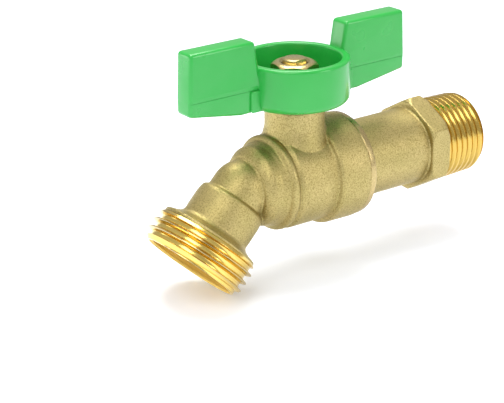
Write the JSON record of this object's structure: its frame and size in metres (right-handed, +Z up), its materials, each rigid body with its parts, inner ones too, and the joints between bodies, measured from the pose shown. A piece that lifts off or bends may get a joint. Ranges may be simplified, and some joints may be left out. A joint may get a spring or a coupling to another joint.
{
  "type": "hose bib",
  "caption": "Brass quarter-turn ball-valve hose bib with a wing handle, a male pipe-thread inlet and a downturned male hose-thread outlet.",
  "frame": {"origin": "centre of the inlet tailpiece's end face, on the pipe axis", "axes": "+Y runs along the inlet pipe axis out of the valve, toward the supply pipe or wall; the outlet points down and toward -Y; +Z is up along the stem; +X is to the right when looking from the outlet toward the wall"},
  "size_m": [0.027, 0.0941, 0.0604],
  "materials": {
    "cast_brass": "sand-blasted",
    "turned_brass": "machined",
    "chromed_ball": "polished",
    "green_paint": "gloss powder coat",
    "ptfe": "smooth",
    "black_rubber": "smooth",
    "spring_steel": "satin"
  },
  "bodies": {
    "body": {"valve_body": "cast_brass", "inlet_tailpiece": "cast_brass", "body_joint_o_ring": "black_rubber", "inlet_seat_ring": "ptfe", "outlet_seat_ring": "ptfe", "stem_thrust_washer": "ptfe", "lower_packing_ring": "ptfe", "upper_packing_ring": "ptfe", "packing_gland": "turned_brass", "packing_nut": "turned_brass"},
    "handle_and_stem": {"handle": "green_paint", "handle_washer": "spring_steel", "handle_nut": "turned_brass", "stem": "turned_brass", "stem_o_ring": "black_rubber"},
    "ball": {"ball": "chromed_ball"}
  },
  "joints": [
    {"name": "handle_turn", "type": "hinge", "parent": "body", "child": "handle_and_stem", "pos_m": [0, -0.054, 0.02], "axis": [0, 0, 1], "range_deg": [-90, 0]},
    {"name": "ball_turn", "type": "hinge", "parent": "body", "child": "ball", "pos_m": [0, -0.054, 0], "axis": [0, 0, 1], "range_deg": [-90, 0]}
  ],
  "couplings": [
    {"joint": "ball_turn", "follows": "handle_turn", "ratio": 1}
  ]
}
